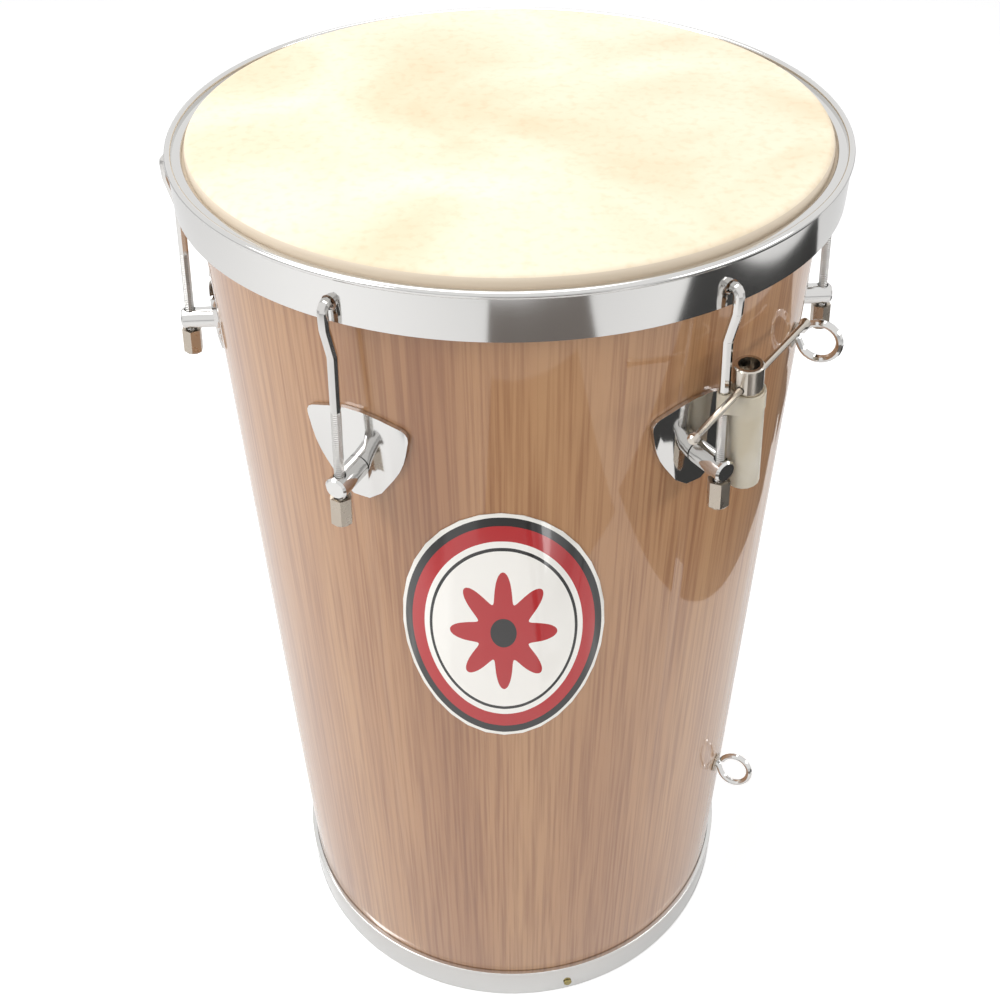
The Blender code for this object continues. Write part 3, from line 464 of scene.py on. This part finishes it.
def drill(piece, holes):
    """Cuts round holes, each a (start, end, radius)."""
    bm = bmesh.new()
    for start, end, radius in holes:
        turn = (end - start).to_track_quat("Z", "X").to_matrix().to_4x4()
        bmesh.ops.create_cone(
            bm, cap_ends=True, segments=HOLE_STEPS, radius1=radius, radius2=radius,
            depth=(end - start).length, matrix=Matrix.Translation((start + end) / 2) @ turn,
        )
    cutter = new_piece("cutter", bm)
    modifier = piece.modifiers.new("holes", "BOOLEAN")
    modifier.object = cutter
    graph = bpy.context.evaluated_depsgraph_get()
    drilled = bpy.data.meshes.new_from_object(piece.evaluated_get(graph))
    piece.modifiers.clear()
    piece.data = drilled
    bpy.data.objects.remove(cutter)


def dress(piece, material, body, node):
    """Gives a finished piece its shading, material and body, and hides the node that it stands for."""
    piece.data.shade_smooth()
    piece.data.set_sharp_from_angle(angle=math.radians(CREASE_ANGLE))
    piece.data.materials.clear()
    piece.data.materials.append(material)
    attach(piece, body)
    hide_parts(node)


def refined(node, material, body, softening=0):
    """A piece with a node's own shape and smooth shading, its edges softened where a width is given."""
    bm = bmesh.new()
    bm.from_mesh(bpy.data.objects[node].data)
    bmesh.ops.remove_doubles(bm, verts=bm.verts, dist=ROUNDOFF)
    bmesh.ops.dissolve_limit(
        bm, angle_limit=math.radians(FLAT_ANGLE), verts=bm.verts, edges=bm.edges, delimit=set()
    )
    piece = new_piece(node + "_fine", bm)
    if softening:
        modifier = piece.modifiers.new("soft_edges", "BEVEL")
        modifier.width = softening
        modifier.segments = SOFT_EDGE_STEPS
        modifier.limit_method = "ANGLE"
        modifier.angle_limit = math.radians(SOFTENED_ANGLE)
        modifier.harden_normals = True
    dress(piece, material, body, node)


def add_shell(material):
    """The shell, with its bearing edge and the holes behind lugs and eyes."""
    low = SHELL_LOW.z
    high = SHELL_HIGH.z
    inner = SHELL_RADIUS - SHELL_WALL
    chamfer = SHELL_WALL - BEARING_EDGE_ROUND - BEARING_EDGE_LAND
    edge = (SHELL_RADIUS - BEARING_EDGE_ROUND, high - BEARING_EDGE_ROUND)
    outline = [
        (SHELL_FOOT_RADIUS - SHELL_WALL, low), (SHELL_FOOT_RADIUS, low),
        *arc(edge, BEARING_EDGE_ROUND, 0, 90, BEARING_EDGE_STEPS),
        (inner + chamfer, high), (inner, high - chamfer),
    ]
    shell = turned("shell_skin", outline)
    lug_height = middle_height("lug_post_1")
    holes = [(lug_height, way, BOLT_HOLE_RADIUS) for way in lug_directions()]
    for name in ("upper", "lower"):
        holes.append((middle_height(f"eye_nut_{name}"), outward(EYE_BEARING), EYE_HOLE_RADIUS))
    cuts = []
    for height, way, radius in holes:
        centre = AXIS + Vector((0, 0, height))
        start = centre + way * DRILL_START * SHELL_FOOT_RADIUS
        cuts.append((start, centre + way * DRILL_END * SHELL_RADIUS, radius))
    drill(shell, cuts)
    dress(shell, material, "drum_body", "shell")


def rim_sizes():
    """The tension rim's band radius, foot and flange top."""
    low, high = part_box("tension_rim")
    radius = (high[0] - low[0]) / 2 - RIM_BEAD_RADIUS / 2
    return radius, low[2], high[2] - 1.5 * RIM_BEAD_RADIUS


def add_tension_rim(material):
    """The rim: band, rolled bead, flange and the hook holes."""
    radius, foot, flange = rim_sizes()
    inner = radius - RIM_SHEET
    underside = flange - RIM_SHEET
    edge = SHELL_RADIUS + HIDE_COLLAR_GAP + HIDE + RIM_FLANGE_GAP
    bead = (radius - RIM_BEAD_RADIUS / 2, flange + RIM_BEAD_RADIUS / 2)
    lip = RIM_LIP_ROUND
    outline = [
        (edge, underside), (inner - RIM_SHEET / 2, underside), (inner, underside - RIM_SHEET / 2),
        (inner, foot + lip), (inner + lip, foot), (radius - lip, foot), (radius, foot + lip),
        *arc(bead, RIM_BEAD_RADIUS, -60, 180, RIM_BEAD_STEPS),
        (bead[0] - RIM_BEAD_RADIUS, flange), (edge + lip, flange), (edge, flange - lip),
    ]
    rim = turned("tension_rim_skin", outline)
    middle = radius - RIM_SHEET / 2
    outer = radius + ROD_DIAMETER / 2 + HOOK_STAND_OFF
    centre = AXIS + Vector((0, 0, foot + HOOK_CROWN_RISE - (outer - middle) * HOOK_TIP_SLOPE))
    opening = ROD_DIAMETER / 2 * math.hypot(1, HOOK_TIP_SLOPE) + RIM_SHEET / 2 * HOOK_TIP_SLOPE + FIT
    cuts = []
    for way in lug_directions():
        cuts.append((centre + way * (inner - RIM_SHEET), centre + way * (radius + RIM_SHEET), opening))
    drill(rim, cuts)
    dress(rim, material, "tension_hoop", "tension_rim")


def add_bottom_rim(material):
    """The channel that the drum stands on."""
    low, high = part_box("bottom_rim")
    radius = (high[0] - low[0]) / 2
    top = high[2]
    lip = SHELL_FOOT_RADIUS + SHELL_NARROWING * top / SHELL_HIGH.z + FIT
    inner = radius - BOTTOM_RIM_SHEET
    innermost = SHELL_FOOT_RADIUS - SHELL_WALL
    soft = BOTTOM_RIM_ROUND
    outline = [
        (innermost, 0), *arc((radius - soft, soft), soft, -90, 0, BOTTOM_RIM_FOOT_STEPS),
        *arc((radius - soft, top - soft), soft, 0, 90, BOTTOM_RIM_TOP_STEPS), (lip, top),
        (lip, top - BOTTOM_RIM_SHEET), (inner, top - BOTTOM_RIM_SHEET),
        (inner, BOTTOM_RIM_SHEET), (innermost, BOTTOM_RIM_SHEET),
    ]
    rim = turned("bottom_rim_skin", outline)
    dress(rim, material, "drum_body", "bottom_rim")


def add_head(material):
    """The hide over the bearing edge and round its hoop."""
    low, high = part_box("drum_head")
    middle = HIDE / 2
    flange = rim_sizes()[2]
    top = high[2] - middle
    collar = SHELL_RADIUS + HIDE_COLLAR_GAP + middle
    wrap = (high[0] - low[0]) / 2 - middle
    wrap_top = flange - RIM_SHEET - FIT - middle
    wrap_foot = low[2] + middle
    corners = (
        (0, top), (collar, top), (collar, wrap_top), (wrap, wrap_top), (wrap, wrap_foot),
        (wrap - FIT - middle - FLESH_HOOP_WIRE_RADIUS, wrap_foot),
    )
    path = bent(corners, (0, HIDE_SHOULDER_ROUND, HIDE, 1.5 * HIDE, 1.5 * HIDE, 0))
    outside = []
    inside = []
    for i, point in enumerate(path):
        along = (path[min(i + 1, len(path) - 1)] - path[max(i - 1, 0)]).normalized()
        side = Vector((-along.y, along.x)) * middle
        outside.append(point + side)
        inside.append(point - side)
    outside[0].x = 0
    inside[0].x = 0
    head = turned("drum_head_skin", [tuple(point) for point in outside + inside[::-1]])
    dress(head, material, "tension_hoop", "drum_head")


def add_fittings():
    """Everything whose shape the frame already has."""
    steel = chrome("chromed_steel")
    nickel = satin_plate("satin_nickel", "B9AFA2", 0.26)
    rod = threaded_chrome()
    wood = bare_wood()
    hoop_steel = satin_plate("hoop_steel", "8F8A84", 0.4)
    for name in ("top_reinforcing_ring", "bottom_reinforcing_ring"):
        refined(name, wood, "drum_body")
    refined("flesh_hoop", hoop_steel, "tension_hoop")
    refined("badge", printed_badge(), "drum_body")
    brass = satin_plate("aged_brass", "9C8F5E", 0.3)
    for i in range(1, 4):
        refined(f"rim_screw_{i}", brass, "drum_body")
    for i in range(1, LUG_COUNT + 1):
        refined(f"lug_plate_{i}", steel, "drum_body", EDGE_SOFTENING)
        refined(f"lug_post_{i}", steel, "drum_body")
        refined(f"lug_bolt_{i}", nickel, "drum_body")
        refined(f"lug_washer_{i}", nickel, "drum_body")
        refined(f"hook_{i}", rod, "tension_hoop")
        refined(f"tuning_nut_{i}", nickel, f"nut_{i}")
    for name in ("upper", "lower"):
        refined(f"strap_eye_{name}", steel, f"eye_{name}")
        refined(f"eye_nut_{name}", nickel, f"eye_{name}")
        refined(f"eye_outer_washer_{name}", nickel, "drum_body")
        refined(f"eye_inner_washer_{name}", nickel, "drum_body")
    key_nickel = satin_plate("key_nickel", "C9C2B8", 0.2)
    refined("tuning_key", key_nickel, "tuning_key")
    refined("tommy_bar", key_nickel, "tommy_bar")
    refined("key_sleeve", soft_plastic(), "tension_hoop")


def add_floor():
    """A pale floor that the camera sees as white, with the drum's soft shadow on it."""
    material, tree, shader = new_finish(
        "floor", {"Roughness": 0.9, "Base Color": linear("F4F4F4"), "Emission Color": WHITE}
    )
    rays = add_node(tree, "ShaderNodeLightPath").outputs
    inputs = {0: rays["Is Camera Ray"], 1: FLOOR_GLOW}
    glow = add_node(tree, "ShaderNodeMath", inputs, operation="MULTIPLY").outputs[0]
    feed(tree, shader, {"Emission Strength": glow})
    bm = bmesh.new()
    bmesh.ops.create_grid(bm, x_segments=1, y_segments=1, size=FLOOR_HALF_WIDTH)
    bmesh.ops.translate(bm, verts=bm.verts, vec=(0, 0, -FLOOR_DROP))
    floor = new_piece("floor", bm)
    floor.data.materials.append(material)


def add_surrounding():
    """A white surrounding for the camera, glass and gloss, that lights the drum more softly."""
    world = bpy.data.worlds.new("studio")
    bpy.context.scene.world = world
    world.use_nodes = True
    tree = world.node_tree
    rays = add_node(tree, "ShaderNodeLightPath").outputs
    inputs = {0: rays["Is Camera Ray"], 1: rays["Is Transmission Ray"]}
    straight = add_node(tree, "ShaderNodeMath", inputs, operation="MAXIMUM").outputs[0]
    inputs = {0: straight, 1: rays["Is Glossy Ray"]}
    seen = add_node(tree, "ShaderNodeMath", inputs, operation="MAXIMUM").outputs[0]
    inputs = {"Value": seen, "To Min": SOFT_LIGHT, "To Max": SEEN_LIGHT}
    strength = add_node(tree, "ShaderNodeMapRange", inputs).outputs[0]
    feed(tree, tree.nodes["Background"], {"Color": WHITE, "Strength": strength})


def add_sheet(name, place, size, code):
    """A dark sheet on the studio floor that only shows in reflections."""
    material = new_finish(name, {"Roughness": 0.8, "Base Color": linear(code)})[0]
    bm = bmesh.new()
    bmesh.ops.create_grid(bm, x_segments=1, y_segments=1, size=0.5)
    bmesh.ops.scale(bm, verts=bm.verts, vec=(*size, 1))
    bmesh.ops.translate(bm, verts=bm.verts, vec=place)
    sheet = new_piece(name, bm)
    sheet.data.materials.append(material)
    sheet.visible_camera = False
    sheet.visible_diffuse = False
    sheet.visible_shadow = False
    sheet.visible_transmission = False


def add_panel(name, place, size, watts):
    """A soft panel of light aimed at the middle of the drum."""
    lamp = bpy.data.lights.new(name, "AREA")
    lamp.shape = "RECTANGLE"
    lamp.size, lamp.size_y = size
    lamp.energy = watts
    panel = new_object(name, lamp)
    panel.location = place
    aim = AXIS + Vector((0, 0, SHELL_HIGH.z / 2)) - Vector(place)
    panel.rotation_euler = aim.to_track_quat("-Z", "Z").to_euler()


def add_camera():
    """The photograph's camera."""
    level_reach = math.cos(CAMERA_PITCH)
    ahead = Vector((
        math.sin(CAMERA_YAW) * level_reach, math.cos(CAMERA_YAW) * level_reach, -math.sin(CAMERA_PITCH)
    ))
    level = Vector((math.cos(CAMERA_YAW), -math.sin(CAMERA_YAW), 0))
    upright = level.cross(ahead)
    right = math.cos(CAMERA_ROLL) * level + math.sin(CAMERA_ROLL) * upright
    up = math.cos(CAMERA_ROLL) * upright - math.sin(CAMERA_ROLL) * level
    data = bpy.data.cameras.new("camera")
    data.lens = CAMERA_LENS
    data.sensor_width = CAMERA_SENSOR
    data.clip_start = CAMERA_NEAREST
    camera = new_object("camera", data)
    turn = Matrix((right, up, -ahead)).transposed().to_4x4()
    camera.matrix_world = Matrix.Translation(AXIS + Vector(CAMERA_PLACE)) @ turn
    bpy.context.scene.camera = camera


def main():
    bpy.context.scene.view_settings.view_transform = "Standard"
    add_camera()
    add_floor()
    add_surrounding()
    for sheet in SHEETS:
        add_sheet(*sheet)
    for panel in PANELS:
        add_panel(*panel)
    rim_chrome = chrome("chromed_rim")
    add_shell(lacquered_veneer())
    add_tension_rim(rim_chrome)
    add_bottom_rim(rim_chrome)
    add_head(goat_hide())
    add_fittings()
    bpy.context.view_layer.update()


main()
